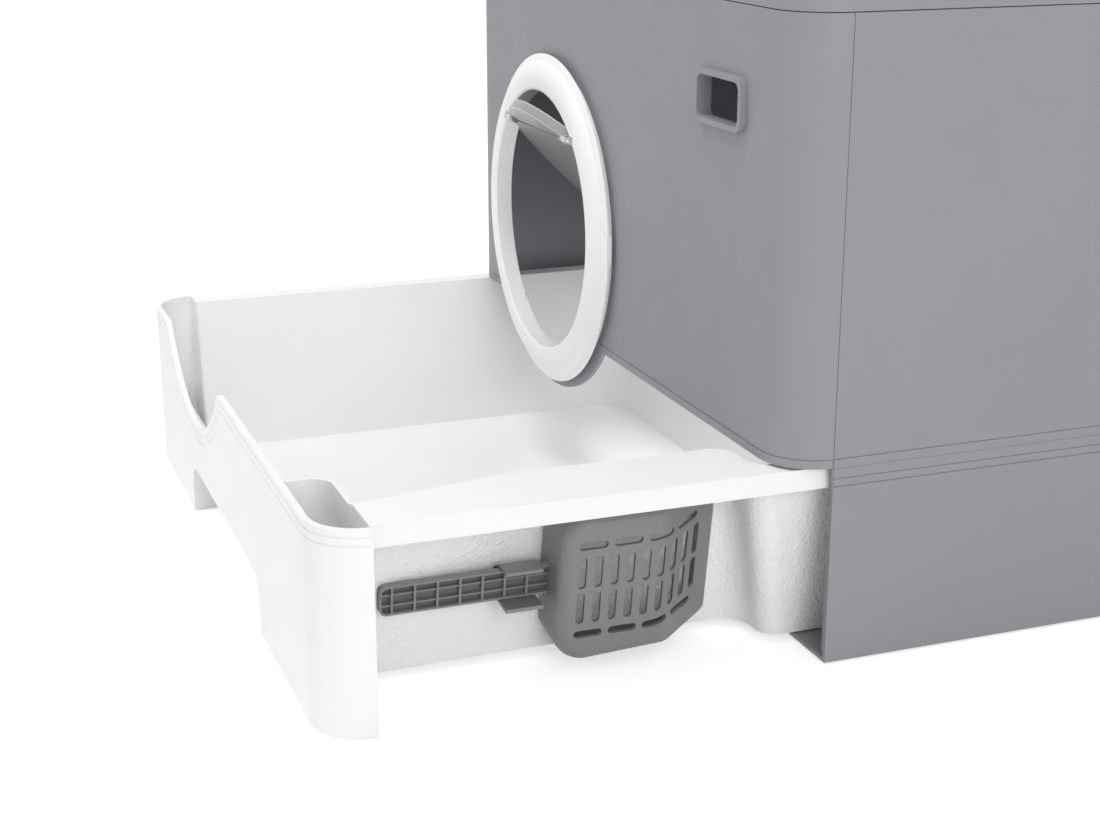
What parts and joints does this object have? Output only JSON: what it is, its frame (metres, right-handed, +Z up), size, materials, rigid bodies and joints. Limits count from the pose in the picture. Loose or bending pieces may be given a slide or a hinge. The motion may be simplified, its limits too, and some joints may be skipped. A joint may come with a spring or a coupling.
{
  "type": "drawer litter box",
  "caption": "Enclosed pet litter box with a round flap entrance, a hinged lid and a pull-out litter drawer that carries a slotted scoop in a side clip.",
  "frame": {"origin": "centre of the housing's footprint, on the floor under its pads", "axes": "+X across the wide front towards the scoop's side, +Y back into the cabin, +Z up; the drawer pulls out towards -Y"},
  "size_m": [0.56, 0.709, 0.422],
  "materials": {
    "body_grey": "fine satin moulded grey plastic",
    "white_plastic": "satin moulded white plastic",
    "scoop_grey": "satin mid-grey plastic",
    "smoke_flap": "translucent smoke-grey plastic",
    "screw_steel": "zinc-plated",
    "pad_rubber": "soft matte"
  },
  "bodies": {
    "housing": {"base_tray": "body_grey", "anti_slip_pads": "pad_rubber", "guide_rail_left": "body_grey", "guide_rail_right": "body_grey", "rail_screws": "screw_steel", "front_shell": "body_grey", "back_shell": "body_grey", "side_panel_left": "body_grey", "side_panel_right": "body_grey", "seam_strips": "body_grey", "entrance_ring": "white_plastic", "ring_screws": "screw_steel", "port_bezel": "body_grey", "lid_hinge_brackets": "body_grey", "lid_hinge_pins": "screw_steel"},
    "lid": {"top_lid": "body_grey"},
    "flap": {"flap_panel": "smoke_flap", "flap_pins": "screw_steel"},
    "drawer": {"drawer_tub": "white_plastic", "drawer_front": "white_plastic", "drawer_front_screws": "screw_steel", "drawer_runner_left": "white_plastic", "drawer_runner_right": "white_plastic", "scoop_clip": "scoop_grey"},
    "scoop": {"scoop_head": "scoop_grey", "scoop_handle": "scoop_grey"}
  },
  "joints": [
    {"name": "drawer_slide", "type": "slide", "parent": "housing", "child": "drawer", "axis": [0, -1, 0], "range_m": [-0.277, 0.022]},
    {"name": "lid_hinge", "type": "hinge", "parent": "housing", "child": "lid", "pos_m": [0, 0.217, 0.3916], "axis": [-1, 0, 0], "range_deg": [0, 100]},
    {"name": "flap_hinge", "type": "hinge", "parent": "housing", "child": "flap", "pos_m": [-0.099, -0.222, 0.273], "axis": [1, 0, 0], "range_deg": [-95, 7]},
    {"name": "scoop_release", "type": "slide", "parent": "drawer", "child": "scoop", "axis": [0.9877, 0, -0.1564], "range_m": [0, 0.012]}
  ]
}
